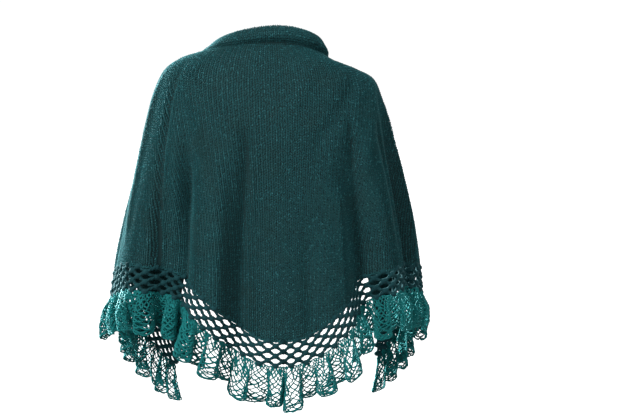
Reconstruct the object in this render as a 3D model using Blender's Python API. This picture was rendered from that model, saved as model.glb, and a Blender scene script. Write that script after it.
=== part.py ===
"""Knitted triangle shawl in its worn form: knit body, openwork band and gathered ruffle.

The wearer faces -Y and stands along +Z. The origin is the middle of the neck at shoulder height.
Every cloth is a wall of even thickness on one draped surface, open at the neck, front and hem.
"""
import math
from bisect import bisect_right
from collections import namedtuple

import bpy
from mathutils import Vector

# Cloth
KNIT_WALL = 0.0025
BAND_WALL = 0.0022
RUFFLE_WALL = 0.0018
SEAM_GAP = 0.0003

# Border along each short side
BAND_HEIGHT = 0.040
RUFFLE_HEIGHT = 0.062
BORDER_FLARE = 0.09
HANG = 0.70
TIP_TURN = 8

# Stations counted out along the hem from the centre back, the same on both sides
STATIONS = 30
SIDE_CUT = 12
FRONT_CUT = 20
END_GAP = 0.008

# Where the straight runs of the two seams start: at whole stations, then at half stations
HEM_KNOT = 0.0
FOOT_KNOT = 0.5

# Columns and rows of the knit wall, the rows closer together at the collar
KNIT_COLUMNS_PER_STATION = 2
KNIT_ROWS = 16
ROW_CROWDING = 1.25

# Openwork: diamonds in staggered rows, each cell one station wide
HOLE_ROWS = 4
HOLE_SHARE = 0.70

# Ruffle
STEPS_PER_STATION = 3
STATIONS_PER_WAVE = 2
RUFFLE_ROWS = 3
WAVE_RISE_TOP = 0.003
WAVE_RISE_HEM = 0.015
WAVE_UNEVEN = 0.30
LOBE_DROP = 0.006

# Share of the height where the waves are full grown, and where in a wave its lobe starts
WAVE_GROWN = 0.333
LOBE_START = 0.25

# Cross sections of the drape, a row for each level down the centre back, in metres
Ring = namedtuple("Ring", "level left right back front z_back z_left z_right z_front")
RINGS = (
    Ring(0.000, 0.080, 0.070, 0.060, 0.066, -0.002, -0.022, -0.024, -0.050),
    Ring(0.030, 0.090, 0.079, 0.071, 0.078, 0.025, 0.004, 0.002, -0.034),
    Ring(0.051, 0.108, 0.090, 0.088, 0.094, 0.012, -0.008, -0.014, -0.047),
    Ring(0.074, 0.126, 0.104, 0.085, 0.106, -0.010, -0.017, -0.036, -0.063),
    Ring(0.101, 0.150, 0.139, 0.098, 0.120, -0.033, -0.025, -0.045, -0.086),
    Ring(0.143, 0.178, 0.170, 0.112, 0.134, -0.071, -0.044, -0.060, -0.115),
    Ring(0.190, 0.196, 0.185, 0.122, 0.144, -0.115, -0.079, -0.095, -0.155),
    Ring(0.245, 0.211, 0.198, 0.128, 0.150, -0.170, -0.130, -0.148, -0.205),
    Ring(0.325, 0.229, 0.217, 0.128, 0.152, -0.250, -0.205, -0.215, -0.275),
    Ring(0.415, 0.247, 0.236, 0.124, 0.148, -0.340, -0.290, -0.296, -0.355),
    Ring(0.495, 0.262, 0.249, 0.122, 0.142, -0.420, -0.370, -0.380, -0.430),
    Ring(0.555, 0.268, 0.255, 0.122, 0.138, -0.480, -0.432, -0.440, -0.490),
    Ring(0.645, 0.272, 0.260, 0.122, 0.134, -0.570, -0.520, -0.530, -0.575),
)
SQUARENESS = 0.07

# Where the long edge and the hem run: share of the half width, bearing from centre back, level
Route = namedtuple("Route", "share left right level")
LONG_EDGE = (
    Route(0.00, 0.0, 0.0, 0.000),
    Route(0.12, 48.0, 48.0, 0.000),
    Route(0.24, 96.0, 96.0, 0.000),
    Route(0.33, 134.0, 132.0, 0.002),
    Route(0.40, 152.0, 149.0, 0.030),
    Route(0.48, 156.0, 151.0, 0.092),
    Route(0.64, 154.0, 146.0, 0.245),
    Route(0.82, 151.0, 138.0, 0.420),
    Route(1.00, 147.0, 132.0, 0.585),
)
HEM = (
    Route(0.00, 0.0, 0.0, 0.558),
    Route(0.06, 9.0, 9.0, 0.552),
    Route(0.14, 20.0, 20.0, 0.522),
    Route(0.21, 29.0, 28.0, 0.492),
    Route(0.29, 40.0, 38.0, 0.468),
    Route(0.40, 62.0, 62.0, 0.475),
    Route(0.49, 84.0, 84.0, 0.500),
    Route(0.56, 104.0, 98.0, 0.506),
    Route(0.70, 122.0, 112.0, 0.522),
    Route(0.84, 135.0, 123.0, 0.558),
    Route(1.00, 147.0, 132.0, 0.617),
)
TURN_DOWN = 1.9

# Folds: bearing at the shoulder and at the hem, rise outward, half width in degrees,
# and the levels where each starts and is full
Fold = namedtuple("Fold", "top hem rise width start full")
BACK_FOLDS = (
    Fold(45.0, 39.0, -0.030, 6.5, 0.15, 0.42),
    Fold(60.0, 58.0, 0.010, 12.0, 0.20, 0.45),
    Fold(32.0, 28.0, 0.010, 5.5, 0.22, 0.46),
    Fold(19.0, 15.5, -0.016, 5.0, 0.26, 0.50),
    Fold(0.0, 0.0, 0.008, 12.0, 0.25, 0.52),
    Fold(-17.0, -18.0, 0.006, 5.0, 0.28, 0.50),
    Fold(-28.0, -32.0, -0.022, 5.5, 0.20, 0.44),
    Fold(-42.0, -44.0, 0.010, 6.5, 0.20, 0.44),
    Fold(-60.0, -61.0, -0.019, 5.0, 0.13, 0.40),
    Fold(-78.0, -80.0, 0.006, 9.0, 0.16, 0.44),
)
FRONT_FOLDS = (
    Fold(99.0, 101.0, -0.020, 6.0, 0.20, 0.48),
    Fold(110.0, 112.0, 0.016, 6.0, 0.22, 0.50),
    Fold(122.0, 123.0, -0.020, 6.0, 0.18, 0.48),
    Fold(134.0, 134.5, 0.016, 6.0, 0.24, 0.52),
)
SIDE_BEARING = 90.0
RIGHT_FRONT_SQUEEZE = 0.75
HEM_LEVEL = 0.55

# Colours from dark wool to bright ruffle yarn, with roughness
WOOL = (0.016, 0.062, 0.068, 1.0)
STRAND = (0.008, 0.050, 0.056, 1.0)
RUFFLE_YARN = (0.014, 0.135, 0.140, 1.0)
WOOL_ROUGHNESS = 0.92
YARN_ROUGHNESS = 0.60

# Steps that read the slope of a surface: in share of the half width, then in stations
SLOPE_STEP = 0.002
RUFFLE_STEP = 0.12
FACING_REACH = 1.4


def clear_scene():
    """Remove every object from the scene."""
    for item in list(bpy.data.objects):
        bpy.data.objects.remove(item, do_unlink=True)


def mix(a, b, share):
    """The value that lies at a share of the way from a to b."""
    return a + (b - a) * share


def ease(share):
    """A soft start and stop between 0 and 1."""
    share = min(max(share, 0.0), 1.0)
    return share * share * (3.0 - 2.0 * share)


def uneven(number):
    """A fixed value between -1 and 1 that differs from one whole number to the next."""
    return math.sin(12.9898 * number + 4.1414) * math.cos(78.233 * number)


def read_table(table, at):
    """Every column of a table where the first column is `at`, on a smooth curve through its rows."""
    keys = [row[0] for row in table]
    low = min(max(bisect_right(keys, at) - 1, 0), len(table) - 2)
    start, end = table[low], table[low + 1]
    before = table[max(low - 1, 0)]
    after = table[min(low + 2, len(table) - 1)]
    span = end[0] - start[0]
    x = (at - start[0]) / span
    values = []
    for a, b, c, d in zip(before, start, end, after):
        slope_in = (c - a) / (end[0] - before[0]) * span
        slope_out = (d - b) / (after[0] - start[0]) * span
        cubic = 2.0 * (b - c) + slope_in + slope_out
        square = 3.0 * (c - b) - 2.0 * slope_in - slope_out
        values.append(((cubic * x + square) * x + slope_in) * x + b)
    return type(start)(*values)


def section(bearing, level):
    """A point of the plain drape and the level outward direction there."""
    ring = read_table(RINGS, level)
    angle = math.radians(bearing)
    across, back = math.sin(angle), math.cos(angle)
    half_width = ring.left if bearing > 0.0 else ring.right
    z_side = ring.z_left if bearing > 0.0 else ring.z_right
    depth = ring.back if back > 0.0 else ring.front
    z_middle = ring.z_back if back > 0.0 else ring.z_front
    swell = 1.0 + SQUARENESS * math.sin(2.0 * angle) ** 2
    height = z_side * across ** 2 + z_middle * back ** 2
    point = Vector((half_width * across * swell, depth * back * swell, height))
    outward = Vector((across / half_width, back / depth, 0.0)).normalized()
    return point, outward


def fold_rise(bearing, level):
    """How far the folds push the cloth out at one place, or in where it is below zero."""
    rise = 0.0
    for fold in BACK_FOLDS:
        rise += one_fold(fold, bearing, level)
    squeeze = 1.0 if bearing > 0.0 else RIGHT_FRONT_SQUEEZE
    past_side = (abs(bearing) - SIDE_BEARING) / squeeze
    for fold in FRONT_FOLDS:
        rise += one_fold(fold, SIDE_BEARING + past_side, level)
    return rise


def one_fold(fold, bearing, level):
    """The rise of one fold at one place."""
    grown = ease((level - fold.start) / (fold.full - fold.start))
    middle = mix(fold.top, fold.hem, min(level / HEM_LEVEL, 1.0))
    return fold.rise * grown * math.exp(-((bearing - middle) / fold.width) ** 2)


def draped(bearing, level):
    """A point of the folded drape."""
    point, outward = section(bearing, level)
    return point + outward * fold_rise(bearing, level)


def knit_place(share, down):
    """Bearing and level of the knit: share of the half width, and share down from edge to hem."""
    edge = read_table(LONG_EDGE, abs(share))
    hem = read_table(HEM, abs(share))
    turned = 1.0 - (1.0 - down) ** TURN_DOWN
    left = mix(edge.left, hem.left, turned)
    right = mix(edge.right, hem.right, turned)
    return left if share > 0.0 else -right, mix(edge.level, hem.level, down)


def knit_point(share, down):
    """A point of the knit's middle surface."""
    return draped(*knit_place(share, down))


def knit_normal(share, down):
    """The outward direction of the knit's middle surface."""
    left = min(share + SLOPE_STEP, 1.0)
    right = max(share - SLOPE_STEP, -1.0)
    low = min(down + SLOPE_STEP, 1.0)
    high = max(down - SLOPE_STEP, 0.0)
    along = knit_point(left, down) - knit_point(right, down)
    fall = knit_point(share, low) - knit_point(share, high)
    return fall.cross(along).normalized()


def border_frame(share):
    """Hem point, hanging direction and level outward direction of the border at a share."""
    left = min(share + SLOPE_STEP, 1.0)
    right = max(share - SLOPE_STEP, -1.0)
    along = section(*knit_place(left, 1.0))[0] - section(*knit_place(right, 1.0))[0]
    outward = section(*knit_place(share, 1.0))[1]
    square_off = outward.cross(along).normalized()
    if square_off.z > 0.0:
        square_off.negate()
    fall = square_off.lerp(Vector((0.0, 0.0, -1.0)), mix(HANG, 1.0, abs(share) ** TIP_TURN))
    fall = (fall + outward * BORDER_FLARE).normalized()
    return knit_point(share, 1.0), fall, outward


def border_facing(share):
    """The direction that the border's wall faces, square to the hem as it runs through the folds."""
    reach = FACING_REACH / STATIONS
    left = knit_point(min(share + reach, 1.0), 1.0)
    right = knit_point(max(share - reach, -1.0), 1.0)
    return border_frame(share)[1].cross(left - right).normalized()


def border_point(station, drop):
    """A point of the border's middle surface and its facing, a drop below the hem."""
    hem, fall, _ = border_frame(station / STATIONS)
    return hem + fall * drop, border_facing(station / STATIONS)


def seam_point(station, drop, knot):
    """As border_point, on the straight runs from knot to knot along a seam, one station apart."""
    low = math.floor(station - knot) + knot
    high = min(low + 1.0, STATIONS)
    low = max(low, -STATIONS)
    first, first_facing = border_point(low, drop)
    second, second_facing = border_point(high, drop)
    share = (station - low) / (high - low) if high > low else 0.0
    return first.lerp(second, share), first_facing.lerp(second_facing, share)


def thicken(name, points, normals, faces, wall, material):
    """A closed wall of even thickness on a surface, from its points, outward directions and faces."""
    half = wall / 2.0
    outer = [p + n * half for p, n in zip(points, normals)]
    inner = [p - n * half for p, n in zip(points, normals)]
    count = len(points)
    outward_share = 0.0
    for face in faces:
        first, second, third = (points[i] for i in face[:3])
        outward_share += (second - first).cross(third - first).dot(normals[face[0]])
    facing_out = [tuple(face) if outward_share > 0.0 else tuple(reversed(face)) for face in faces]
    edges = {(a, b) for face in facing_out for a, b in zip(face, face[1:] + face[:1])}
    rims = []
    for a, b in sorted(edges):
        if (b, a) in edges:
            continue
        if (outer[b] - inner[a]).length < (outer[a] - inner[b]).length:
            rims += [(b, a, a + count), (b, a + count, b + count)]
        else:
            rims += [(b, a, b + count), (a, a + count, b + count)]
    backs = [tuple(i + count for i in reversed(face)) for face in facing_out]
    mesh = bpy.data.meshes.new(name)
    mesh.from_pydata(outer + inner, [], facing_out + backs + rims)
    mesh.validate()
    mesh.shade_smooth()
    mesh.materials.append(material)
    item = bpy.data.objects.new(name, mesh)
    bpy.context.scene.collection.objects.link(item)
    return item


def cloth_material(name, colour, roughness):
    """A plain cloth material."""
    material = bpy.data.materials.new(name)
    material.use_nodes = True
    shader = material.node_tree.nodes["Principled BSDF"]
    shader.inputs["Base Color"].default_value = colour
    shader.inputs["Roughness"].default_value = roughness
    shader.inputs["Metallic"].default_value = 0.0
    return material


def make_knit_body():
    """The knit triangle, one wall from the edge turned in at the nape down to the hem."""
    points, normals, faces = [], [], []
    columns = 2 * STATIONS * KNIT_COLUMNS_PER_STATION
    for column in range(columns + 1):
        station = column / KNIT_COLUMNS_PER_STATION - STATIONS
        share = station / STATIONS
        for row in range(KNIT_ROWS):
            down = (row / KNIT_ROWS) ** ROW_CROWDING
            points.append(knit_point(share, down))
            normals.append(knit_normal(share, down))
        hem, facing = seam_point(station, 0.0, HEM_KNOT)
        points.append(hem)
        normals.append(facing)
    width = KNIT_ROWS + 1
    for column in range(columns):
        for row in range(KNIT_ROWS):
            corner = column * width + row
            faces.append((corner, corner + 1, corner + width + 1, corner + width))
    wool = cloth_material("wool_knit", WOOL, WOOL_ROUGHNESS)
    return thicken("knit_body", points, normals, faces, KNIT_WALL, wool)


class BandNet:
    """Points of one stretch of openwork, on a lattice of half stations and rows."""

    def __init__(self, first, last):
        self.first, self.last = first, last
        self.points, self.normals, self.faces = [], [], []
        self.places = {}

    def corner(self, column, row):
        """The number of a lattice point, which is made when first asked for."""
        if (column, row) not in self.places:
            drop = mix(SEAM_GAP, BAND_HEIGHT, row / (HOLE_ROWS + 1))
            inside = min(max(column, self.first + END_GAP), self.last - END_GAP)
            if row == 0:
                point, normal = seam_point(inside, drop, HEM_KNOT)
            elif row == HOLE_ROWS + 1:
                point, normal = seam_point(inside, drop, FOOT_KNOT)
            else:
                point, normal = border_point(inside, drop)
            self.places[(column, row)] = len(self.points)
            self.points.append(point)
            self.normals.append(normal)
        return self.places[(column, row)]

    def holed_cell(self, column, row):
        """A diamond with a hole through it, centred on a lattice point."""
        reach = ((0.0, -1.0), (0.5, 0.0), (0.0, 1.0), (-0.5, 0.0))
        rim = [self.corner(column + x, row + y) for x, y in reach]
        hole = [self.corner(column + x * HOLE_SHARE, row + y * HOLE_SHARE) for x, y in reach]
        for k in range(4):
            after = (k + 1) % 4
            self.faces.append((rim[k], rim[after], hole[after], hole[k]))

    def solid(self, *corners):
        """A closed piece of cloth between lattice points."""
        self.faces.append([self.corner(column, row) for column, row in corners])


def make_band(name, first, last, material):
    """One stretch of openwork between two stations, with diamond gaps cut through."""
    net = BandNet(first, last)
    foot = HOLE_ROWS + 1
    for row in range(1, foot):
        offset = 0.0 if row % 2 else 0.5
        centres = range(first, last) if offset else range(first + 1, last)
        for station in centres:
            net.holed_cell(station + offset, row)
    for station in range(first, last):
        net.solid((station, 0), (station + 0.5, 0), (station + 0.5, 1))
        net.solid((station + 0.5, 0), (station + 1, 0), (station + 0.5, 1))
    for station in range(first + 1, last):
        net.solid((station - 0.5, foot), (station, HOLE_ROWS), (station + 0.5, foot))
    for row in range(1, foot, 2):
        net.solid((first, row - 1), (first + 0.5, row), (first, row + 1))
        net.solid((last, row - 1), (last, row + 1), (last - 0.5, row))
    net.solid((first, HOLE_ROWS), (first + 0.5, foot), (first, foot))
    net.solid((last, HOLE_ROWS), (last, foot), (last - 0.5, foot))
    return thicken(name, net.points, net.normals, net.faces, BAND_WALL, material)


def ruffle_point(station, down):
    """A point of the gathered ruffle's middle surface, down being its share from seam to hem."""
    point = seam_point(station, BAND_HEIGHT + SEAM_GAP, FOOT_KNOT)[0]
    _, fall, outward = border_frame(station / STATIONS)
    wave = abs(station) / STATIONS_PER_WAVE
    side = 0 if station > 0.0 else STATIONS
    strength = 1.0 + WAVE_UNEVEN * uneven(side + math.floor(2.0 * wave))
    rise = mix(WAVE_RISE_TOP, WAVE_RISE_HEM, down) * min(down / WAVE_GROWN, 1.0) * strength
    drop = RUFFLE_HEIGHT + LOBE_DROP * uneven(side + math.floor(wave + LOBE_START))
    swing = math.sin(2.0 * math.pi * wave)
    return point + fall * (drop * down) + outward * (rise * swing)


def ruffle_stations(near, far):
    """The stations of a stretch of ruffle, counted out from the centre, clear of its neighbours."""
    steps = math.ceil((far - near) * STEPS_PER_STATION)
    stations = [near + step / STEPS_PER_STATION for step in range(steps)]
    stations[0] += END_GAP
    return stations + [far - END_GAP]


def ruffle_normal(station, down):
    """The outward direction of the ruffle's middle surface."""
    left = ruffle_point(min(station + RUFFLE_STEP, STATIONS), down)
    right = ruffle_point(max(station - RUFFLE_STEP, -STATIONS), down)
    low = ruffle_point(station, min(down + RUFFLE_STEP, 1.0))
    high = ruffle_point(station, max(down - RUFFLE_STEP, 0.0))
    return (low - high).cross(left - right).normalized()


def make_ruffle(name, stations, material):
    """One stretch of ruffle along a list of stations, as waves that deepen toward the hem."""
    points, normals, faces = [], [], []
    for station in stations:
        points.append(ruffle_point(station, 0.0))
        normals.append(seam_point(station, BAND_HEIGHT, FOOT_KNOT)[1])
        for row in range(1, RUFFLE_ROWS + 1):
            down = row / RUFFLE_ROWS
            points.append(ruffle_point(station, down))
            normals.append(ruffle_normal(station, down))
    width = RUFFLE_ROWS + 1
    for column in range(len(stations) - 1):
        for row in range(RUFFLE_ROWS):
            corner = column * width + row
            faces.append((corner, corner + 1, corner + width + 1, corner + width))
    return thicken(name, points, normals, faces, RUFFLE_WALL, material)


def make_border():
    """The openwork band and the ruffle, in three stretches on each side."""
    strand = cloth_material("open_mesh_yarn", STRAND, WOOL_ROUGHNESS)
    yarn = cloth_material("ruffle_yarn", RUFFLE_YARN, YARN_ROUGHNESS)
    stretches = (("back", 0, SIDE_CUT), ("side", SIDE_CUT, FRONT_CUT), ("front", FRONT_CUT, STATIONS))
    for stretch, near, far in stretches:
        make_band("mesh_band_left_" + stretch, near, far, strand)
        make_band("mesh_band_right_" + stretch, -far, -near, strand)
        seam_far = far + 0.5 if far < STATIONS else far
        make_ruffle("ruffle_left_" + stretch, ruffle_stations(near + 0.5, seam_far), yarn)
        seam_near = near + 0.5 if near else -0.5
        mirrored = [-station for station in reversed(ruffle_stations(seam_near, seam_far))]
        make_ruffle("ruffle_right_" + stretch, mirrored, yarn)


def main():
    """Build the shawl."""
    clear_scene()
    make_knit_body()
    make_border()


main()
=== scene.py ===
"""Looks of the knitted triangle shawl: stitches, openwork band, ruffle net, light and camera.

Lengths are in metres. The wearer faces -Y, so the camera sees the back from +Y.
A place on the knit is a share of the half width, -1 to 1, and a share down from edge to hem.
A place on the border is a station along the hem, -30 to 30, and a drop below the hem.
"""

import math
from collections import namedtuple

import bmesh
import bpy
import numpy as np
from mathutils import Matrix, Vector


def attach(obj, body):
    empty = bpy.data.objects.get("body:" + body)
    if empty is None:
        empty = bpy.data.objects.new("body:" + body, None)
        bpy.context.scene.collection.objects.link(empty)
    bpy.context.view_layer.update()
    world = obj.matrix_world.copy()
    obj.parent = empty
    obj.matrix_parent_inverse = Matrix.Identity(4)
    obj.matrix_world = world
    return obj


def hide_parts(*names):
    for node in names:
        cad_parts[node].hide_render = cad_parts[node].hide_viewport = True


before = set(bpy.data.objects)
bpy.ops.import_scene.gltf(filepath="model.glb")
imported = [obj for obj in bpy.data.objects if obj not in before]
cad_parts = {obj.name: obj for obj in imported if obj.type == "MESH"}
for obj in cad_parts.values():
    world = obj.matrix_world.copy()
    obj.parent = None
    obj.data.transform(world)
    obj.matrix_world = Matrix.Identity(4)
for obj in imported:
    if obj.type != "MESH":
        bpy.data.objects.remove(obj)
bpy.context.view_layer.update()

# Border along each short side, as in the solids
BAND_HEIGHT = 0.040
RUFFLE_HEIGHT = 0.062
BORDER_FLARE = 0.09
HANG = 0.70
TIP_TURN = 8
STATIONS = 30
FACING_REACH = 1.4

# Cross sections of the drape, a row for each level down the centre back
Ring = namedtuple("Ring", "level left right back front z_back z_left z_right z_front")
RINGS = (
    Ring(0.000, 0.080, 0.070, 0.060, 0.066, -0.002, -0.022, -0.024, -0.050),
    Ring(0.030, 0.090, 0.079, 0.071, 0.078, 0.025, 0.004, 0.002, -0.034),
    Ring(0.051, 0.108, 0.090, 0.088, 0.094, 0.012, -0.008, -0.014, -0.047),
    Ring(0.074, 0.126, 0.104, 0.085, 0.106, -0.010, -0.017, -0.036, -0.063),
    Ring(0.101, 0.150, 0.139, 0.098, 0.120, -0.033, -0.025, -0.045, -0.086),
    Ring(0.143, 0.178, 0.170, 0.112, 0.134, -0.071, -0.044, -0.060, -0.115),
    Ring(0.190, 0.196, 0.185, 0.122, 0.144, -0.115, -0.079, -0.095, -0.155),
    Ring(0.245, 0.211, 0.198, 0.128, 0.150, -0.170, -0.130, -0.148, -0.205),
    Ring(0.325, 0.229, 0.217, 0.128, 0.152, -0.250, -0.205, -0.215, -0.275),
    Ring(0.415, 0.247, 0.236, 0.124, 0.148, -0.340, -0.290, -0.296, -0.355),
    Ring(0.495, 0.262, 0.249, 0.122, 0.142, -0.420, -0.370, -0.380, -0.430),
    Ring(0.555, 0.268, 0.255, 0.122, 0.138, -0.480, -0.432, -0.440, -0.490),
    Ring(0.645, 0.272, 0.260, 0.122, 0.134, -0.570, -0.520, -0.530, -0.575),
)
SQUARENESS = 0.07

# Where the long edge and the hem run: share of the half width, bearing from centre back, level
Route = namedtuple("Route", "share left right level")
LONG_EDGE = (
    Route(0.00, 0.0, 0.0, 0.000),
    Route(0.12, 48.0, 48.0, 0.000),
    Route(0.24, 96.0, 96.0, 0.000),
    Route(0.33, 134.0, 132.0, 0.002),
    Route(0.40, 152.0, 149.0, 0.030),
    Route(0.48, 156.0, 151.0, 0.092),
    Route(0.64, 154.0, 146.0, 0.245),
    Route(0.82, 151.0, 138.0, 0.420),
    Route(1.00, 147.0, 132.0, 0.585),
)
HEM = (
    Route(0.00, 0.0, 0.0, 0.558),
    Route(0.06, 9.0, 9.0, 0.552),
    Route(0.14, 20.0, 20.0, 0.522),
    Route(0.21, 29.0, 28.0, 0.492),
    Route(0.29, 40.0, 38.0, 0.468),
    Route(0.40, 62.0, 62.0, 0.475),
    Route(0.49, 84.0, 84.0, 0.500),
    Route(0.56, 104.0, 98.0, 0.506),
    Route(0.70, 122.0, 112.0, 0.522),
    Route(0.84, 135.0, 123.0, 0.558),
    Route(1.00, 147.0, 132.0, 0.617),
)
TURN_DOWN = 1.9

# Folds: bearing at the shoulder and at the hem, rise outward, half width in degrees,
# and the levels where each starts and is full
Fold = namedtuple("Fold", "top hem rise width start full")
BACK_FOLDS = (
    Fold(45.0, 39.0, -0.030, 6.5, 0.15, 0.42),
    Fold(60.0, 58.0, 0.010, 12.0, 0.20, 0.45),
    Fold(32.0, 28.0, 0.010, 5.5, 0.22, 0.46),
    Fold(19.0, 15.5, -0.016, 5.0, 0.26, 0.50),
    Fold(0.0, 0.0, 0.008, 12.0, 0.25, 0.52),
    Fold(-17.0, -18.0, 0.006, 5.0, 0.28, 0.50),
    Fold(-28.0, -32.0, -0.022, 5.5, 0.20, 0.44),
    Fold(-42.0, -44.0, 0.010, 6.5, 0.20, 0.44),
    Fold(-60.0, -61.0, -0.019, 5.0, 0.13, 0.40),
    Fold(-78.0, -80.0, 0.006, 9.0, 0.16, 0.44),
)
FRONT_FOLDS = (
    Fold(99.0, 101.0, -0.020, 6.0, 0.20, 0.48),
    Fold(110.0, 112.0, 0.016, 6.0, 0.22, 0.50),
    Fold(122.0, 123.0, -0.020, 6.0, 0.18, 0.48),
    Fold(134.0, 134.5, 0.016, 6.0, 0.24, 0.52),
)
SIDE_BEARING = 90.0
RIGHT_FRONT_SQUEEZE = 0.75
HEM_LEVEL = 0.55

# Soft creases between the large folds: each runs from one place to another, by bearing and level
Crease = namedtuple("Crease", "bearing level to_bearing to_level rise width")
CREASES = (
    Crease(62.0, 0.125, 30.0, 0.300, -0.0040, 0.015),
    Crease(50.0, 0.115, 18.0, 0.235, 0.0030, 0.014),
    Crease(24.0, 0.100, 4.0, 0.165, -0.0025, 0.012),
    Crease(-20.0, 0.105, -6.0, 0.180, 0.0025, 0.013),
    Crease(-48.0, 0.120, -14.0, 0.250, -0.0035, 0.014),
    Crease(-62.0, 0.130, -30.0, 0.330, 0.0035, 0.015),
    Crease(76.0, 0.170, 70.0, 0.430, 0.0050, 0.011),
    Crease(86.0, 0.190, 88.0, 0.470, -0.0025, 0.012),
    Crease(54.0, 0.260, 52.0, 0.450, 0.0025, 0.009),
    Crease(9.0, 0.360, 7.0, 0.545, -0.0030, 0.010),
    Crease(-9.0, 0.390, -10.0, 0.550, -0.0032, 0.009),
    Crease(-24.0, 0.330, -24.0, 0.500, 0.0040, 0.009),
    Crease(-52.0, 0.220, -52.0, 0.450, -0.0050, 0.010),
    Crease(-70.0, 0.200, -70.0, 0.460, 0.0055, 0.011),
    Crease(-88.0, 0.180, -90.0, 0.470, -0.0060, 0.012),
    Crease(108.0, 0.080, 116.0, 0.260, -0.0040, 0.013),
    Crease(-106.0, 0.080, -112.0, 0.250, -0.0040, 0.012),
    Crease(130.0, 0.070, 138.0, 0.330, 0.0045, 0.012),
    Crease(-126.0, 0.070, -128.0, 0.330, 0.0045, 0.012),
    Crease(144.0, 0.180, 143.0, 0.520, -0.0050, 0.010),
    Crease(15.5, 0.230, 12.5, 0.600, -0.0120, 0.013),
    Crease(25.0, 0.280, 22.0, 0.560, 0.0060, 0.010),
    Crease(39.0, 0.300, 31.8, 0.580, -0.0095, 0.007),
    Crease(58.0, 0.170, 45.5, 0.500, -0.0100, 0.0072),
    Crease(46.5, 0.260, 37.0, 0.540, 0.0120, 0.0105),
    Crease(-34.0, 0.210, -32.0, 0.520, -0.0060, 0.009),
    Crease(95.0, 0.066, -95.0, 0.066, -0.0060, 0.007),
    Crease(-137.0, 0.180, -129.0, 0.520, -0.0040, 0.010),
)
CREASE_RADIUS = 0.20
CREASE_FADE = 0.3

# Knit: width of a stitch column, height of a row, and the shell behind the stitches
COLUMN_PITCH = 0.00647
ROW_PITCH = 0.0042
SHELL_WALL = 0.0010
SHELL_COLUMNS = 160
SHELL_ROWS = 64
SHELL_ROW_CROWDING = 1.25
HEM_PROBES = 401
COLUMN_PROBES = 161

# A stitch's two legs: thickness in metres, run as shares of its column and row, and its plump middle
LEG_HALF_WIDTH = 0.00126
LEG_HEIGHT = 0.00165
LEG_LENGTH = 1.30
LEG_LEAN = 0.38
LEG_FOOT = 0.06
LEG_SPOTS = np.array([0.0, 0.2, 0.5, 0.8, 1.0])
LEG_SWELL = np.array([0.0, 0.80, 1.0, 0.80, 0.0])
LEG_ROOT = 0.3
LEG_ARCH = 0.35
LEG_CROWN = 0.8
LEG_POINTS = 11
STITCH_PIECES = 5

# How much stitches differ from one another
STITCH_STRETCH = 0.10
STITCH_SHIFT = 0.05
STITCH_GROWTH = 0.10

# Openwork: rows of diamonds, a diamond to each station, of plied strands with knots
HOLE_ROWS = 4
STRAND_RADIUS = 0.00185
STRAND_SPOTS = 7
STRAND_SIDES = 5
STRAND_LEAN = 0.0010
PLY_OFFSET = 0.00125
PLY_TURNS = 1.25
KNOT_GROWTH = 0.40
KNOT_SHARPNESS = 2.5
KNOT_RADIUS = 0.0056
KNOT_SHARES = (1.0, 0.85, 0.75)
END_SLACK = 0.01

# Cast-off row along the knit's hem
HEM_SPOTS_PER_STATION = 10
HEM_CORD_DROP = 0.0006
HEM_PLY_RADIUS = 0.0012
HEM_PLY_OFFSET = 0.0010
HEM_PLY_TURNS = 2.0

# Ruffle: its waves in metres, how they stray along the hem, and the round lobes of its own hem
STATIONS_PER_WAVE = 2
WAVE_RISE_TOP = 0.003
WAVE_RISE_HEM = 0.015
WAVE_GROWN = 0.333
WAVE_UNEVEN = 0.40
WAVE_UNEVEN_PACE = 1.3
WAVE_STRAY = 0.26
WAVE_STRAY_PACE = 0.7
WAVE_STRAY_START = 3.0
FOLD_OVER = 0.55
LOBE_DROP = 0.006
LOBE_ROUND = 0.0120
LOBE_MEAN = 0.65
LOBE_LEAN = 0.2
RIPPLE_RISE = 0.0035
RIPPLES_PER_WAVE = 3.0
RIPPLE_STRAY = 2.0
RIPPLE_STRAY_START = 7.0
RUFFLE_PUFF = 0.0060
RUFFLE_TUCK = 1.3

# Net of the ruffle: its loops, how unlike they are, and their strands
NET_ROWS = 15
NET_SPARE_ROWS = 0.4
NET_CELLS_PER_STATION = 6
NET_SAG = 0.75
NET_SAG_LEAST = 0.02
NET_SAG_MOST = 0.2
NET_EVENING = 0.6
NET_LOWEST = 1.02
NET_UNEVEN = 0.26
NET_RADIUS = 0.00130
NET_RADIUS_UNEVEN = 0.25
NET_RADIUS_LEAST = 0.6
NET_RADIUS_MOST = 1.6
NET_SIDES = 3
LOOP_SPOTS = 5

# Strands that run along the ruffle, from its seam to its hem, with radius in metres
EdgeStrand = namedtuple("EdgeStrand", "down wobble phase radius")
EDGE_STRANDS = (
    EdgeStrand(0.010, 0.016, 0.0, 0.0009),
    EdgeStrand(0.860, 0.035, 0.7, 0.0008),
    EdgeStrand(0.920, 0.030, 2.1, 0.0008),
    EdgeStrand(0.965, 0.024, 3.9, 0.0009),
    EdgeStrand(1.005, 0.014, 5.2, 0.0011),
)
EDGE_SPOTS_PER_STATION = 14
EDGE_WAVE_PACE = 9.0
EDGE_SECOND_PACE = 14.1
EDGE_SECOND_SHARE = 0.6
EDGE_SIDES = 4

# Where the net is drawn up tightly, so its strands bunch: station, reach in stations, growth
Bunch = namedtuple("Bunch", "station reach growth")
BUNCHES = (
    Bunch(7.5, 2.6, 0.55),
    Bunch(15.0, 2.5, 0.25),
    Bunch(-7.0, 1.6, 0.30),
    Bunch(-26.0, 3.0, 0.35),
)

# Where a second layer of the net lies behind the first: middle and reach in stations,
# its shift along the hem in stations, its share of the drop and its depth behind
LAYER_STATION = 7.6
LAYER_REACH = 1.85
LAYER_SHIFT = 0.27
LAYER_DROP = 0.955
LAYER_DEPTH = 0.0035

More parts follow.
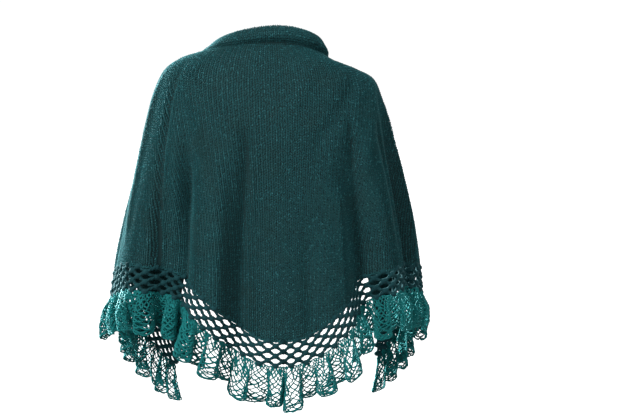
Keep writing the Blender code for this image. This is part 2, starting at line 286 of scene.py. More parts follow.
# Stretches of the border on each side, as the solids divide it: name, nearest and farthest station
STRETCHES = (("back", 0, 12), ("side", 12, 20), ("front", 20, 30))

SLOPE_STEP = 0.002
RANDOM_SEED = 7
UNEVEN_PACE, UNEVEN_START, UNEVEN_SECOND_PACE = 12.9898, 4.1414, 78.233

# Yarns: material name, darkest and lightest colour, roughness, sheen and the colour of painted glints,
# light specks that stand for light catching the fibres
Yarn = namedtuple("Yarn", "name dark light roughness sheen spark")
WOOL = Yarn(
    "wool_yarn", (0.0056, 0.053, 0.060, 1.0), (0.0160, 0.119, 0.131, 1.0), 0.85, 0.16,
    (0.052, 0.25, 0.28, 1.0),
)
INSIDE = Yarn("wool_inside", WOOL.dark, WOOL.light, 0.85, 0.15, None)
# The shell's darker wool is painted shade: it stands for the shadow in the gaps between the stitches
PAINTED_SHADE_SHELL = Yarn(
    "wool_shell_painted_shade", (0.0090, 0.030, 0.032, 1.0), (0.0180, 0.056, 0.060, 1.0), 0.95, 0.10, None
)
STRAND = Yarn(
    "mesh_yarn", (0.0020, 0.026, 0.033, 1.0), (0.0100, 0.084, 0.096, 1.0), 0.80, 0.15, None
)
NET = Yarn(
    "ruffle_yarn", (0.0015, 0.085, 0.086, 1.0), (0.0100, 0.330, 0.330, 1.0), 0.62, 0.10, None
)
WARM = (0.0220, 0.072, 0.070, 1.0)

# Finish that all yarns share: soft fibres, their sheen, and how the two mottles mix
SHEEN_ROUGHNESS = 0.45
SHEEN_TINT = (0.35, 0.85, 0.90, 1.0)
SPECULAR = 0.25
BROAD_SCALE, BROAD_DETAIL, BROAD_SHARE = 28.0, 4.0, 0.20
FIBRE_SCALE, FIBRE_DETAIL, FIBRE_SHARE = 900.0, 3.0, 0.85
FIBRE_BUMP, FIBRE_DEPTH = 0.5, 0.0006
DARKEST_AT, LIGHTEST_AT = 0.32, 0.72

# Painted glints, light specks that stand for light catching the fibres, and warmer patches of the wool
GLINT_SCALE, GLINT_FROM, GLINT_TO = 340.0, 0.60, 0.82
PATCH_SCALE, PATCH_DETAIL, PATCH_FROM, PATCH_TO, PATCH_MOST = 22.0, 3.0, 0.50, 0.75, 0.45

# Purl rows of the inside: how far a row sways between columns, in radians, and its relief
PURL_SWAY = 1.5
PURL_BUMP, PURL_DEPTH = 1.0, 0.0016

# Camera: the photograph's angle, with its frame of 620 by 413 pixels
AZIMUTH = 172.0
ELEVATION = 5.0
DISTANCE = 2.15
AIM = (0.0, 0.0, -0.275)
PIXEL = 0.0017
FRAME_WIDTH = 620
OBJECT_PIXEL_X = 272
SENSOR = 36.0

# Studio: floor, the room's light by height and as the camera sees it, and two square soft lights
FLOOR_DROP = -1.35
FLOOR_HALF = 40.0
FLOOR_GLOW = 1.0
FLOOR_ROUGHNESS = 0.9
FLOOR_COLOUR = (0.9, 0.9, 0.9, 1.0)
ROOM_LIGHT_ABOVE = 0.68
ROOM_LIGHT_BELOW = 0.20
ROOM_WHITE = 1.05
Light = namedtuple("Light", "name place aim size power colour")
LIGHTS = (
    Light("key", (1.85, 1.5, 1.1), (0.0, 0.0, -0.2), 0.6, 40.0, (0.97, 1.0, 1.0)),
    Light("window", (1.4, -1.55, 0.25), (0.25, 0.0, -0.25), 0.5, 180.0, (0.80, 0.98, 1.0)),
)


def mix(a, b, share):
    """The value that lies at a share of the way from a to b."""
    return a + (b - a) * share


def ease(share):
    """A soft start and stop between 0 and 1."""
    share = np.clip(share, 0.0, 1.0)
    return share * share * (3.0 - 2.0 * share)


def uneven(number):
    """A fixed value between -1 and 1 that differs from one whole number to the next."""
    return np.sin(UNEVEN_PACE * number + UNEVEN_START) * np.cos(UNEVEN_SECOND_PACE * number)


def unit(vectors):
    """The vectors at length 1."""
    return vectors / np.maximum(np.linalg.norm(vectors, axis=-1, keepdims=True), 1e-9)


def read_table(table, at):
    """The columns of a table where the first column is `at`, on a smooth curve through its rows."""
    rows = np.array(table)
    at = np.asarray(at, dtype=float)
    low = np.clip(np.searchsorted(rows[:, 0], at, side="right") - 1, 0, len(rows) - 2)
    start, end = rows[low], rows[low + 1]
    before = rows[np.maximum(low - 1, 0)]
    after = rows[np.minimum(low + 2, len(rows) - 1)]
    span = end[..., :1] - start[..., :1]
    x = (at[..., None] - start[..., :1]) / span
    slope_in = (end - before) / (end[..., :1] - before[..., :1]) * span
    slope_out = (after - start) / (after[..., :1] - start[..., :1]) * span
    cubic = 2.0 * (start - end) + slope_in + slope_out
    square = 3.0 * (end - start) - 2.0 * slope_in - slope_out
    values = ((cubic * x + square) * x + slope_in) * x + start
    return [values[..., column] for column in range(1, values.shape[-1])]


def broadcast(first, second):
    """Both values as arrays of one shape."""
    return np.broadcast_arrays(np.asarray(first, dtype=float), np.asarray(second, dtype=float))


def section(bearing, level):
    """Points of the plain drape and the level outward directions there."""
    left, right, back, front, z_back, z_left, z_right, z_front = read_table(RINGS, level)
    angle = np.radians(bearing)
    across, rear = np.sin(angle), np.cos(angle)
    half_width = np.where(bearing > 0.0, left, right)
    z_side = np.where(bearing > 0.0, z_left, z_right)
    depth = np.where(rear > 0.0, back, front)
    z_middle = np.where(rear > 0.0, z_back, z_front)
    swell = 1.0 + SQUARENESS * np.sin(2.0 * angle) ** 2
    height = z_side * across ** 2 + z_middle * rear ** 2
    points = np.stack([half_width * across * swell, depth * rear * swell, height], axis=-1)
    level_out = np.stack([across / half_width, rear / depth, np.zeros_like(height)], axis=-1)
    return points, unit(level_out)


def one_fold(fold, bearing, level):
    """The rise of one fold at each place."""
    grown = ease((level - fold.start) / (fold.full - fold.start))
    middle = mix(fold.top, fold.hem, np.minimum(level / HEM_LEVEL, 1.0))
    return fold.rise * grown * np.exp(-((bearing - middle) / fold.width) ** 2)


def one_crease(crease, bearing, level):
    """The rise of one crease at each place, soft across it and toward both its ends."""
    degree = math.radians(CREASE_RADIUS)
    run_x = (crease.to_bearing - crease.bearing) * degree
    run_y = crease.to_level - crease.level
    off_x = (bearing - crease.bearing) * degree
    off_y = level - crease.level
    length = math.hypot(run_x, run_y)
    along = (off_x * run_x + off_y * run_y) / length ** 2
    across = (off_x * run_y - off_y * run_x) / length
    ends = ease(along / CREASE_FADE + 0.5) * ease((1.0 - along) / CREASE_FADE + 0.5)
    return crease.rise * ends * np.exp(-(across / crease.width) ** 2)


def fold_rise(bearing, level):
    """How far folds and creases push the cloth out at each place."""
    rise = np.zeros(np.broadcast(bearing, level).shape)
    for fold in BACK_FOLDS:
        rise += one_fold(fold, bearing, level)
    squeeze = np.where(bearing > 0.0, 1.0, RIGHT_FRONT_SQUEEZE)
    past_side = (np.abs(bearing) - SIDE_BEARING) / squeeze
    for fold in FRONT_FOLDS:
        rise += one_fold(fold, SIDE_BEARING + past_side, level)
    for crease in CREASES:
        rise += one_crease(crease, bearing, level)
    return rise


def knit_place(share, down):
    """Bearings and levels of the knit."""
    edge_left, edge_right, edge_level = read_table(LONG_EDGE, np.abs(share))
    hem_left, hem_right, hem_level = read_table(HEM, np.abs(share))
    turned = 1.0 - (1.0 - down) ** TURN_DOWN
    left = mix(edge_left, hem_left, turned)
    right = mix(edge_right, hem_right, turned)
    return np.where(share > 0.0, left, -right), mix(edge_level, hem_level, down)


def knit_point(share, down):
    """Points of the knit's middle surface."""
    share, down = broadcast(share, down)
    bearing, level = knit_place(share, down)
    points, outward = section(bearing, level)
    return points + outward * fold_rise(bearing, level)[..., None]


def knit_slopes(share, down):
    """How the knit's surface runs along its width and down it, and its outward direction."""
    left = np.minimum(share + SLOPE_STEP, 1.0)
    right = np.maximum(share - SLOPE_STEP, -1.0)
    low = np.minimum(down + SLOPE_STEP, 1.0)
    high = np.maximum(down - SLOPE_STEP, 0.0)
    along = (knit_point(left, down) - knit_point(right, down)) / (left - right)[..., None]
    fall = (knit_point(share, low) - knit_point(share, high)) / (low - high)[..., None]
    return along, fall, unit(np.cross(along, fall))


def border_frame(share):
    """Hem points, hanging directions and level outward directions of the border."""
    left = np.minimum(share + SLOPE_STEP, 1.0)
    right = np.maximum(share - SLOPE_STEP, -1.0)
    along = section(*knit_place(left, 1.0))[0] - section(*knit_place(right, 1.0))[0]
    outward = section(*knit_place(share, 1.0))[1]
    square_off = unit(np.cross(outward, along))
    square_off = np.where(square_off[..., 2:] > 0.0, -square_off, square_off)
    hang = mix(HANG, 1.0, np.abs(share) ** TIP_TURN)[..., None]
    fall = mix(square_off, np.array([0.0, 0.0, -1.0]), hang)
    return knit_point(share, 1.0), unit(fall + outward * BORDER_FLARE), outward


def border_facing(share):
    """The direction that the border faces, square to the hem as it runs through the folds."""
    reach = FACING_REACH / STATIONS
    left = knit_point(np.minimum(share + reach, 1.0), 1.0)
    right = knit_point(np.maximum(share - reach, -1.0), 1.0)
    return unit(np.cross(left - right, border_frame(share)[1]))


def border_point(station, drop):
    """Points of the border's middle surface, a drop below the hem."""
    hem, fall, _ = border_frame(station / STATIONS)
    return hem + fall * np.asarray(drop)[..., None]


def smooth_uneven(place):
    """As uneven, but running smoothly between the whole numbers."""
    low = np.floor(place)
    return mix(uneven(low), uneven(low + 1.0), ease(place - low))


def ruffle_point(station, down):
    """Points of the gathered ruffle's middle surface, down being its share from seam to hem."""
    station, down = broadcast(station, down)
    share = np.clip(station / STATIONS, -1.0, 1.0)
    _, fall, outward = border_frame(share)
    top = border_point(share * STATIONS, np.full(share.shape, BAND_HEIGHT))
    along = unit(np.cross(outward, fall))
    side = np.where(station > 0.0, 0.0, float(STATIONS))
    count = np.abs(station) / STATIONS_PER_WAVE
    stray = smooth_uneven(WAVE_STRAY_START + side + WAVE_STRAY_PACE * count)
    wave = count + WAVE_STRAY * stray * ease(count)
    strength = 1.0 + WAVE_UNEVEN * smooth_uneven(side + WAVE_UNEVEN_PACE * count)
    rise = mix(WAVE_RISE_TOP, WAVE_RISE_HEM, down) * np.minimum(down / WAVE_GROWN, 1.0) * strength
    turn = 2.0 * math.pi * wave
    round_hem = LOBE_ROUND * (np.abs(np.sin(turn)) - LOBE_MEAN + LOBE_LEAN * np.sin(turn))
    drop = RUFFLE_HEIGHT + LOBE_DROP * smooth_uneven(side + count) + round_hem
    ripple_stray = RIPPLE_STRAY * smooth_uneven(RIPPLE_STRAY_START + side + 2.0 * count)
    ripple = RIPPLE_RISE * down ** 2 * np.sin(RIPPLES_PER_WAVE * turn + ripple_stray)
    puff = RUFFLE_PUFF * (np.sin(math.pi * down) - RUFFLE_TUCK * down ** 2)
    swing = rise * np.sin(turn) + ripple + puff
    over = FOLD_OVER * rise * np.sin(2.0 * turn) * np.sign(station)
    hung = top + fall * (drop * down)[..., None]
    return hung + outward * swing[..., None] + along * over[..., None]


def make_mesh(name, points, face_sets, material):
    """An object from points and sets of faces, each set an array with a row for each face."""
    sizes = np.concatenate([np.full(len(faces), faces.shape[1]) for faces in face_sets])
    corners = np.concatenate([faces.ravel() for faces in face_sets])
    starts = np.concatenate([[0], np.cumsum(sizes)[:-1]])
    mesh = bpy.data.meshes.new(name)
    mesh.vertices.add(len(points))
    mesh.vertices.foreach_set("co", points.astype(np.float32).ravel())
    mesh.loops.add(len(corners))
    mesh.loops.foreach_set("vertex_index", corners.astype(np.int32))
    mesh.polygons.add(len(sizes))
    mesh.polygons.foreach_set("loop_start", starts.astype(np.int32))
    mesh.update(calc_edges=True)
    mesh.validate()
    mesh.shade_smooth()
    mesh.materials.append(material)
    item = bpy.data.objects.new(name, mesh)
    bpy.context.scene.collection.objects.link(item)
    return item


def make_tubes(name, paths, facings, radii, sides, material):
    """Round strands with closed ends, along paths with a row for each strand."""
    count, length, _ = paths.shape
    along = unit(np.gradient(paths, axis=1))
    across = unit(np.cross(along, facings))
    out = np.cross(across, along)
    turn = 2.0 * math.pi * np.arange(sides) / sides
    ring = np.cos(turn)[:, None] * across[:, :, None] + np.sin(turn)[:, None] * out[:, :, None]
    points = paths[:, :, None, :] + ring * radii[:, :, None, None]
    index = np.arange(count * length * sides).reshape(count, length, sides)
    after = np.roll(index, -1, axis=2)
    walls = np.stack([index[:, :-1], index[:, 1:], after[:, 1:], after[:, :-1]], axis=-1)
    caps = np.concatenate([index[:, 0], index[:, -1, ::-1]])
    return make_mesh(name, points.reshape(-1, 3), [walls.reshape(-1, 4), caps], material)


def make_shell(wall, material, inside_material):
    """The thin knit shell behind the stitches, darker as painted shade for the gaps between them, with
    its stitch columns and rows as its UV map.
    """
    share = np.linspace(-1.0, 1.0, SHELL_COLUMNS + 1)[:, None] * np.ones(SHELL_ROWS + 1)
    down = np.linspace(0.0, 1.0, SHELL_ROWS + 1) ** SHELL_ROW_CROWDING * np.ones((SHELL_COLUMNS + 1, 1))
    points = knit_point(share, down)
    normals = knit_slopes(share, down)[2]
    outer = points + normals * wall / 2.0
    inner = points - normals * wall / 2.0
    index = np.arange(share.size).reshape(share.shape)
    quads = np.stack([index[:-1, :-1], index[1:, :-1], index[1:, 1:], index[:-1, 1:]], axis=-1)
    quads = quads.reshape(-1, 4)
    backs = quads[:, ::-1] + index.size
    border = np.concatenate([index[:, 0][::-1], index[0, 1:], index[1:, -1], index[-1, :-1][::-1]])
    nearby = np.roll(border, -1)
    rims = np.stack([border, nearby, nearby + index.size, border + index.size], axis=-1)
    rims = rims[border != nearby]
    both_sides = np.concatenate([outer.reshape(-1, 3), inner.reshape(-1, 3)])
    shell = make_mesh("knit_shell", both_sides, [quads, backs, rims], material)
    shell.data.materials.append(inside_material)
    inside = np.zeros(len(shell.data.polygons), dtype=np.int32)
    inside[len(quads):len(quads) + len(backs)] = 1
    shell.data.polygons.foreach_set("material_index", inside)
    lay_stitches(shell, share, points)
    return shell


def lay_stitches(shell, share, points):
    """Give the shell a UV map that counts its stitch columns across and its rows down."""
    lengths = np.linalg.norm(np.diff(points, axis=1), axis=-1)
    starts = np.zeros((len(points), 1))
    rows_down = np.concatenate([starts, np.cumsum(lengths, axis=1)], axis=1) / ROW_PITCH
    columns = share * stitch_column_count() / 2.0
    places = np.stack([columns.ravel(), rows_down.ravel()], axis=-1)
    places = np.concatenate([places, places])
    corners = np.zeros(len(shell.data.loops), dtype=np.int32)
    shell.data.loops.foreach_get("vertex_index", corners)
    uv = shell.data.uv_layers.new(name="stitches")
    uv.data.foreach_set("uv", places[corners].astype(np.float32).ravel())


def stitch_column_count():
    """How many columns of stitches the knit has, on the mean of its hem and its long edge."""
    share = np.linspace(-1.0, 1.0, HEM_PROBES)
    hem = np.linalg.norm(np.diff(knit_point(share, 1.0), axis=0), axis=-1).sum()
    edge = np.linalg.norm(np.diff(knit_point(share, 0.0), axis=0), axis=-1).sum()
    return int(round((hem + edge) / 2.0 / COLUMN_PITCH))


def stitch_places():
    """Share, share down and row height of each stitch, evenly spaced down its column."""
    count = stitch_column_count()
    steps = np.linspace(0.0, 1.0, COLUMN_PROBES)
    shares, downs, heights = [], [], []
    for column in range(count):
        share = 2.0 * (column + 0.5) / count - 1.0
        line = knit_point(share, steps)
        length = np.concatenate([[0.0], np.cumsum(np.linalg.norm(np.diff(line, axis=0), axis=-1))])
        rows = max(int(length[-1] / ROW_PITCH), 1)
        at = (np.arange(rows) + 0.5) * length[-1] / rows
        downs.append(np.interp(at, length, steps))
        shares.append(np.full(rows, share))
        heights.append(np.full(rows, length[-1] / rows))
    return np.concatenate(shares), np.concatenate(downs), np.concatenate(heights), count


def make_stitches(material):
    """Every knit stitch as two plump legs in a V, joined into a few pieces across the width."""
    share, down, row_height, count = stitch_places()
    along, fall, outward = knit_slopes(share, down)
    centre = knit_point(share, down)
    column = along * (2.0 / count)
    row = unit(fall) * row_height[:, None]
    random = np.random.default_rng(RANDOM_SEED)
    stretch = 1.0 + STITCH_STRETCH * random.standard_normal(len(share))
    shift = STITCH_SHIFT * random.standard_normal((len(share), 2))
    size = 1.0 + STITCH_GROWTH * random.standard_normal(len(share))
    swell = LEG_SWELL[None, :, None]
    legs = []
    for side in (-1.0, 1.0):
        u = side * (LEG_FOOT + LEG_LEAN * LEG_SPOTS) + shift[:, :1]
        v = (0.5 - LEG_SPOTS) * LEG_LENGTH * stretch[:, None] + shift[:, 1:]
        w = SHELL_WALL * LEG_ROOT + LEG_HEIGHT * LEG_ARCH * np.sin(math.pi * LEG_SPOTS)
        path = centre[:, None] + column[:, None] * u[..., None] + row[:, None] * v[..., None]
        path = path + outward[:, None] * w[None, :, None]
        run = unit(path[:, -1] - path[:, 0])
        across = unit(np.cross(run, outward))[:, None] * (LEG_HALF_WIDTH * size)[:, None, None] * swell
        up = outward[:, None] * (LEG_HEIGHT * size)[:, None, None] * swell
        rings = np.stack([path - across, path + up * LEG_CROWN, path + across], axis=2)[:, 1:-1]
        rings = rings.reshape(len(share), -1, 3)
        legs.append(np.concatenate([path[:, :1], rings, path[:, -1:]], axis=1))
    walls, tips = leg_faces()
    bounds = np.linspace(-1.0, 1.0, STITCH_PIECES + 1)
    pieces = []
    for number in range(STITCH_PIECES):
        chosen = (share >= bounds[number]) & (share < bounds[number + 1])
        points = np.concatenate([leg[chosen] for leg in legs])
        starts = (np.arange(len(points)) * LEG_POINTS)[:, None, None]
        face_sets = [(walls[None] + starts).reshape(-1, 4), (tips[None] + starts).reshape(-1, 3)]
        name = f"knit_stitches_{number + 1}"
        pieces.append(make_mesh(name, points.reshape(-1, 3), face_sets, material))
    return pieces


def leg_faces():
    """Faces of one leg: its foot is point 0, its three rings of three are 1 to 9, its end is 10."""
    walls, tips = [], []
    for side in range(3):
        after = (side + 1) % 3
        for ring in (1, 4):
            walls.append((ring + side, ring + 3 + side, ring + 3 + after, ring + after))
        tips.append((0, 1 + side, 1 + after))
        tips.append((10, 7 + after, 7 + side))
    return np.array(walls), np.array(tips)


def lattice_point(station, row):
    """Points of the openwork's lattice, rows counted down from the hem."""
    return border_point(station, BAND_HEIGHT * np.asarray(row) / (HOLE_ROWS + 1))


def make_band(name, first, last, material):
    """One stretch of openwork: plied strands that cross in knots between the openings."""
    starts, ends, tops = [], [], []
    for row in range(HOLE_ROWS + 1):
        offset = 0.5 if row % 2 else 0.0
        for station in np.arange(first + offset, last + END_SLACK):
            for step in (-0.5, 0.5):
                if first <= station + step <= last:
                    starts.append(station)
                    ends.append(station + step)
                    tops.append(row)
    starts, ends, tops = np.array(starts), np.array(ends), np.array(tops, dtype=float)
    spots = np.linspace(0.0, 1.0, STRAND_SPOTS)
    station = mix(starts[:, None], ends[:, None], spots)
    line = lattice_point(station, tops[:, None] + spots)
    facing = border_facing(station / STATIONS)
    hump = np.sin(math.pi * spots)[None, :, None]
    lean = np.sign(ends - starts)[:, None, None]
    line = line + facing * lean * STRAND_LEAN * (1.0 - hump)
    along = unit(np.gradient(line, axis=1))
    across = unit(np.cross(along, facing))
    turn = 2.0 * math.pi * PLY_TURNS * spots[None, :, None]
    plies = []
    for ply in (0.0, math.pi):
        plies.append(line + PLY_OFFSET * (across * np.cos(turn + ply) + facing * np.sin(turn + ply)))
    paths = np.concatenate(plies)
    knot = KNOT_GROWTH * (2.0 * np.abs(spots - 0.5)) ** KNOT_SHARPNESS
    radii = STRAND_RADIUS * (1.0 + knot)[None, :] * np.ones((len(paths), 1))
    strands = make_tubes(name, paths, np.concatenate([facing, facing]), radii, STRAND_SIDES, material)
    add_knots(strands, np.concatenate([starts, ends]), np.concatenate([tops, tops + 1.0]))
    return strands


def add_knots(strands, stations, rows):
    """Round off each crossing of an openwork stretch with a small knot, in the same mesh."""
    places = np.unique(np.round(np.stack([stations, rows], axis=-1), 3), axis=0)
    middles = lattice_point(places[:, 0], places[:, 1])
    facing = border_facing(places[:, 0] / STATIONS)
    flat = Matrix.Diagonal([KNOT_RADIUS * share for share in KNOT_SHARES] + [1.0])
    mesh = bmesh.new()
    mesh.from_mesh(strands.data)
    for middle, out in zip(middles, facing):
        turn = Vector(out).to_track_quat("Z", "Y").to_matrix().to_4x4()
        place = Matrix.Translation(middle) @ turn @ flat
        bmesh.ops.create_icosphere(mesh, subdivisions=2, radius=1.0, matrix=place)
    for face in mesh.faces:
        face.smooth = True
    mesh.to_mesh(strands.data)
    mesh.free()


def net_loops(random):
    """Stations and shares down of the net's loops, each hung from the middles of two above it."""
    cells = STATIONS * NET_CELLS_PER_STATION
    spots = np.linspace(0.0, 1.0, LOOP_SPOTS)
    hang = 4.0 * spots * (1.0 - spots)
    reach = (1.0 + NET_SAG * 0.5) / (NET_ROWS + NET_SPARE_ROWS)
    nodes_station = np.arange(cells + 1) / NET_CELLS_PER_STATION
    nodes_down = np.zeros(cells + 1)
    stations, downs = [], []
    for row in range(NET_ROWS):
        first, last = nodes_station[:-1], nodes_station[1:]
        top_first, top_last = nodes_down[:-1], nodes_down[1:]
        top = (top_first + top_last) / 2.0
        sag = reach * (1.0 + NET_UNEVEN * random.standard_normal(len(first)))
        slide = NET_UNEVEN / NET_CELLS_PER_STATION * random.standard_normal(len(first))
        row_down = (row + 1.0) / NET_ROWS
        sag = np.clip(mix(sag, row_down - top, NET_EVENING), NET_SAG_LEAST, NET_SAG_MOST)
        bulge = slide[:, None] * hang[None, :]
        stations.append(mix(first[:, None], last[:, None], spots) + bulge)
        downs.append(mix(top_first[:, None], top_last[:, None], spots) + sag[:, None] * hang[None, :])
        nodes_station = np.concatenate([[0.0], (first + last) / 2.0 + slide, [float(STATIONS)]])
        nodes_down = np.concatenate([[row_down], top + sag, [row_down]])
    stations = np.clip(np.concatenate(stations), 0.0, STATIONS)
    return stations, np.minimum(np.concatenate(downs), NET_LOWEST)


def make_net(name, side, material):
    """The ruffle on one side: its net, with a second layer behind it where it is drawn up tightly."""
    random = np.random.default_rng(RANDOM_SEED + (1 if side > 0.0 else 2))
    station, down = net_loops(random)
    middle = side * station[:, LOOP_SPOTS // 2]
    doubled = np.abs(middle - LAYER_STATION) < LAYER_REACH
    behind = np.concatenate([np.zeros(len(station)), np.full(doubled.sum(), LAYER_DEPTH)])
    station = np.concatenate([station, station[doubled] + LAYER_SHIFT])
    down = np.concatenate([down, down[doubled] * LAYER_DROP])
    facing = border_facing(side * station / STATIONS)
    paths = ruffle_point(side * station, down) - facing * behind[:, None, None]
    thickness = 1.0 + NET_RADIUS_UNEVEN * random.standard_normal((len(paths), 1))
    radii = NET_RADIUS * thickness * np.ones(LOOP_SPOTS)
    radii = np.clip(radii, NET_RADIUS * NET_RADIUS_LEAST, NET_RADIUS * NET_RADIUS_MOST)
    for bunch in BUNCHES:
        off = (side * station - bunch.station) / bunch.reach
        radii = radii * (1.0 + bunch.growth * np.exp(-off ** 2))
    return make_tubes(name, paths, facing, radii, NET_SIDES, material)


def make_hem_cord(material):
    """The cast-off row along the knit's hem: two plies twisted round the edge."""
    station = np.linspace(-STATIONS, STATIONS, 2 * STATIONS * HEM_SPOTS_PER_STATION + 1)
    hem = border_point(station, np.full(station.shape, HEM_CORD_DROP))
    facing = border_facing(station / STATIONS)
    along = unit(np.gradient(hem, axis=0))
    across = unit(np.cross(along, facing))
    turn = 2.0 * math.pi * station * HEM_PLY_TURNS
    plies = []
    for ply in (0.0, math.pi):
        side = across * np.cos(turn + ply)[:, None] + facing * np.sin(turn + ply)[:, None]
        plies.append(hem + side * HEM_PLY_OFFSET)
    radii = np.full((2, len(station)), HEM_PLY_RADIUS)
    facings = np.stack([facing, facing])
    return make_tubes("hem_cord", np.stack(plies), facings, radii, STRAND_SIDES, material)


def make_edge(name, side, material):
    """The denser wavy strands along the ruffle's hem and its seam, on one side."""
    station = np.linspace(0.0, STATIONS, STATIONS * EDGE_SPOTS_PER_STATION + 1)
    lines, widths = [], []
    for strand in EDGE_STRANDS:
        wave = strand.wobble * np.sin(EDGE_WAVE_PACE * station + strand.phase)
        second = strand.wobble * EDGE_SECOND_SHARE
        wave = wave + second * np.sin(EDGE_SECOND_PACE * station + 2.0 * strand.phase)
        lines.append(ruffle_point(side * station, strand.down + wave))
        widths.append(np.full(len(station), strand.radius))
    facings = np.stack([border_facing(side * station / STATIONS)] * len(lines))
    return make_tubes(name, np.stack(lines), facings, np.stack(widths), EDGE_SIDES, material)


def add_node(owner, kind, inputs=None, **settings):
    """A new shader node of a material or world, with its settings and the values of its inputs."""
    node = owner.node_tree.nodes.new("ShaderNode" + kind)
    for name, value in settings.items():
        setattr(node, name, value)
    for socket, value in (inputs or {}).items():
        node.inputs[socket].default_value = value
    return node


def yarn_material(yarn):
    """A yarn: mottled colour, fibre bump and a soft sheen, with painted glints, specks of light on the
    fibres, if it has a glint colour.
    """
    material = bpy.data.materials.new(yarn.name)
    material.use_nodes = True
    link = material.node_tree.links.new
    shader = material.node_tree.nodes["Principled BSDF"]
    shader.inputs["Roughness"].default_value = yarn.roughness
    shader.inputs["Sheen Weight"].default_value = yarn.sheen
    shader.inputs["Sheen Roughness"].default_value = SHEEN_ROUGHNESS
    shader.inputs["Sheen Tint"].default_value = SHEEN_TINT
    shader.inputs["Specular IOR Level"].default_value = SPECULAR
    place = add_node(material, "TexCoord").outputs["Object"]
    broad = add_node(material, "TexNoise", {"Scale": BROAD_SCALE, "Detail": BROAD_DETAIL})
    fine = add_node(material, "TexNoise", {"Scale": FIBRE_SCALE, "Detail": FIBRE_DETAIL})
    part = add_node(material, "Math", {1: BROAD_SHARE}, operation="MULTIPLY")
    both = add_node(material, "Math", {1: FIBRE_SHARE}, operation="MULTIPLY_ADD")
    ramp = add_node(material, "ValToRGB")
    darkest, lightest = ramp.color_ramp.elements
    darkest.position, darkest.color = DARKEST_AT, yarn.dark
    lightest.position, lightest.color = LIGHTEST_AT, yarn.light
    bump = add_node(material, "Bump", {"Strength": FIBRE_BUMP, "Distance": FIBRE_DEPTH})
    link(place, broad.inputs["Vector"])
    link(place, fine.inputs["Vector"])
    link(broad.outputs["Fac"], part.inputs[0])
    link(fine.outputs["Fac"], both.inputs[0])
    link(part.outputs["Value"], both.inputs[2])
    link(both.outputs["Value"], ramp.inputs["Fac"])
    link(fine.outputs["Fac"], bump.inputs["Height"])
    link(bump.outputs["Normal"], shader.inputs["Normal"])
    colour = ramp.outputs["Color"]
    # Painted glints: light specks over the whole cloth that stand for light catching the fibres
    if yarn.spark:
        glint_noise = {"Scale": GLINT_SCALE, "Detail": 0.0}
        glint_amount = {"From Min": GLINT_FROM, "From Max": GLINT_TO}
        colour = add_spots(material, place, colour, yarn.spark, glint_noise, glint_amount)
        patches = {"Scale": PATCH_SCALE, "Detail": PATCH_DETAIL}
        warm = {"From Min": PATCH_FROM, "From Max": PATCH_TO, "To Max": PATCH_MOST}
        colour = add_spots(material, place, colour, WARM, patches, warm)
    link(colour, shader.inputs["Base Color"])
    return material


def add_spots(material, place, colour, spot_colour, noise_inputs, range_inputs):
    """The colour with spots of another colour over it, where a noise is high."""
    link = material.node_tree.links.new
    noise = add_node(material, "TexNoise", noise_inputs)
    amount = add_node(material, "MapRange", range_inputs)
    blend = add_node(material, "Mix", data_type="RGBA")
    blend.inputs["B"].default_value = spot_colour
    link(place, noise.inputs["Vector"])
    link(noise.outputs["Fac"], amount.inputs["Value"])
    link(amount.outputs["Result"], blend.inputs["Factor"])
    link(colour, blend.inputs["A"])
    return blend.outputs["Result"]


def purl_material():
    """The knit's inside: wool with the interlocking rows of purl bumps, laid out by the UV map, and
    painted shade in the hollows between the bumps.
    """
    material = yarn_material(INSIDE)
    link = material.node_tree.links.new
    nodes = material.node_tree.nodes
    full_turn = {1: 2.0 * math.pi}
    place = add_node(material, "UVMap", uv_map="stitches")
    split = add_node(material, "SeparateXYZ")
    column = add_node(material, "Math", full_turn, operation="MULTIPLY")
    sway = add_node(material, "Math", operation="COSINE")
    row = add_node(material, "Math", full_turn, operation="MULTIPLY")
    swayed = add_node(material, "Math", {1: PURL_SWAY}, operation="MULTIPLY_ADD")
    loops = add_node(material, "Math", operation="COSINE")
    height = add_node(material, "MapRange", {"From Min": -1.0})
    bump = add_node(material, "Bump", {"Strength": PURL_BUMP, "Distance": PURL_DEPTH})
    # Painted shade: the low places between the purl bumps take the shell's dark colour
    shade = add_node(material, "Mix", data_type="RGBA")
    shade.inputs["A"].default_value = PAINTED_SHADE_SHELL.dark
    link(place.outputs["UV"], split.inputs["Vector"])
    link(split.outputs["X"], column.inputs[0])
    link(column.outputs["Value"], sway.inputs[0])
    link(split.outputs["Y"], row.inputs[0])
    link(sway.outputs["Value"], swayed.inputs[0])
    link(row.outputs["Value"], swayed.inputs[2])
    link(swayed.outputs["Value"], loops.inputs[0])
    link(loops.outputs["Value"], height.inputs["Value"])
    link(height.outputs["Result"], bump.inputs["Height"])
    link(bump.outputs["Normal"], nodes["Bump"].inputs["Normal"])
    link(height.outputs["Result"], shade.inputs["Factor"])
    link(nodes["Color Ramp"].outputs["Color"], shade.inputs["B"])
    link(shade.outputs["Result"], nodes["Principled BSDF"].inputs["Base Color"])
    return material


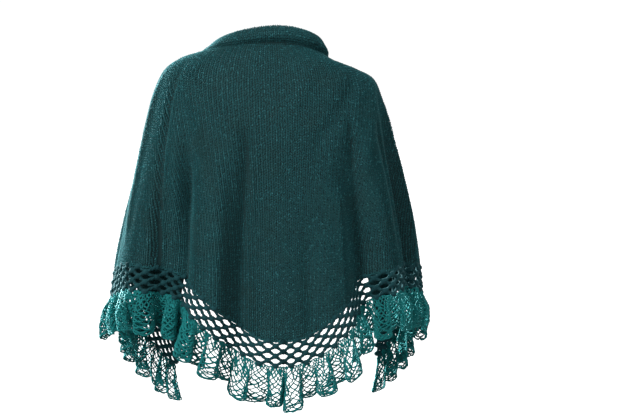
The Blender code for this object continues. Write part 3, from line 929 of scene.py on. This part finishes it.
def dress():
    """Replace every solid with its finished cloth."""
    # The shell's darker colour is painted shade for the gaps between the stitches
    shell_shade_wool = yarn_material(PAINTED_SHADE_SHELL)
    wool = yarn_material(WOOL)
    strand = yarn_material(STRAND)
    net_yarn = yarn_material(NET)
    shell = make_shell(SHELL_WALL, shell_shade_wool, purl_material())
    stitches = make_stitches(wool)
    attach(shell, "root")
    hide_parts("knit_body")
    for piece in stitches:
        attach(piece, "root")
    hem_cord = make_hem_cord(wool)
    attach(hem_cord, "root")
    for side_name, side in (("left", 1), ("right", -1)):
        for stretch, near, far in STRETCHES:
            first, last = sorted((side * near, side * far))
            band = make_band(f"mesh_{side_name}_{stretch}", first, last, strand)
            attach(band, "root")
            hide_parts(f"mesh_band_{side_name}_{stretch}")
        net = make_net(f"ruffle_net_{side_name}", float(side), net_yarn)
        edge = make_edge(f"ruffle_edge_{side_name}", float(side), net_yarn)
        for piece in (net, edge):
            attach(piece, "root")
        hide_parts(*[f"ruffle_{side_name}_{stretch}" for stretch, _, _ in STRETCHES])


def make_camera():
    """The camera, behind the wearer and a little above the middle of the shawl."""
    turn, rise = math.radians(AZIMUTH), math.radians(ELEVATION)
    away = Vector((math.sin(turn) * math.cos(rise), -math.cos(turn) * math.cos(rise), math.sin(rise)))
    data = bpy.data.cameras.new("camera")
    data.sensor_width = SENSOR
    data.lens = SENSOR * DISTANCE / (FRAME_WIDTH * PIXEL)
    data.shift_x = (FRAME_WIDTH / 2 - OBJECT_PIXEL_X) / FRAME_WIDTH
    camera = bpy.data.objects.new("camera", data)
    camera.location = Vector(AIM) + away * DISTANCE
    camera.rotation_euler = (-away).to_track_quat("-Z", "Y").to_euler()
    bpy.context.scene.collection.objects.link(camera)
    bpy.context.scene.camera = camera


def make_light(light):
    """A square soft light that faces a point."""
    data = bpy.data.lights.new(light.name, "AREA")
    data.size = light.size
    data.energy = light.power
    data.color = light.colour
    lamp = bpy.data.objects.new(light.name, data)
    lamp.location = light.place
    facing = Vector(light.aim) - Vector(light.place)
    lamp.rotation_euler = facing.to_track_quat("-Z", "Y").to_euler()
    bpy.context.scene.collection.objects.link(lamp)


def floor_material():
    """A matt pale floor that looks as white as the room."""
    material = bpy.data.materials.new("pale_floor")
    material.use_nodes = True
    shader = material.node_tree.nodes["Principled BSDF"]
    shader.inputs["Roughness"].default_value = FLOOR_ROUGHNESS
    shader.inputs["Base Color"].default_value = FLOOR_COLOUR
    shader.inputs["Emission Color"].default_value = FLOOR_COLOUR
    shader.inputs["Emission Strength"].default_value = FLOOR_GLOW
    return material


def make_room():
    """A white room that lights the cloth softly, more from above than from below."""
    world = bpy.data.worlds.new("room")
    world.use_nodes = True
    link = world.node_tree.links.new
    background = world.node_tree.nodes["Background"]
    background.inputs["Color"].default_value = (1.0, 1.0, 1.0, 1.0)
    seen = add_node(world, "LightPath")
    place = add_node(world, "TexCoord")
    split = add_node(world, "SeparateXYZ")
    by_height = {"From Min": -1.0, "To Min": ROOM_LIGHT_BELOW, "To Max": ROOM_LIGHT_ABOVE}
    level = add_node(world, "MapRange", by_height)
    strength = add_node(world, "MapRange", {"To Max": ROOM_WHITE})
    link(place.outputs["Generated"], split.inputs["Vector"])
    link(split.outputs["Z"], level.inputs["Value"])
    link(level.outputs["Result"], strength.inputs["To Min"])
    link(seen.outputs["Is Camera Ray"], strength.inputs["Value"])
    link(strength.outputs["Result"], background.inputs["Strength"])
    bpy.context.scene.world = world


def make_studio():
    """A pale floor well below the shawl, a white room and soft lights."""
    corners = np.array([(-1, -1), (1, -1), (1, 1), (-1, 1)]) * FLOOR_HALF
    points = np.column_stack([corners, np.full(4, FLOOR_DROP)])
    floor = make_mesh("floor", points, [np.array([[0, 1, 2, 3]])], floor_material())
    # The glow is for the camera alone, so that it doesn't light the cloth from below
    floor.visible_diffuse = False
    floor.visible_glossy = False
    make_room()
    for light in LIGHTS:
        make_light(light)
    bpy.context.scene.view_settings.view_transform = "Standard"


make_camera()
dress()
make_studio()
bpy.context.view_layer.update()
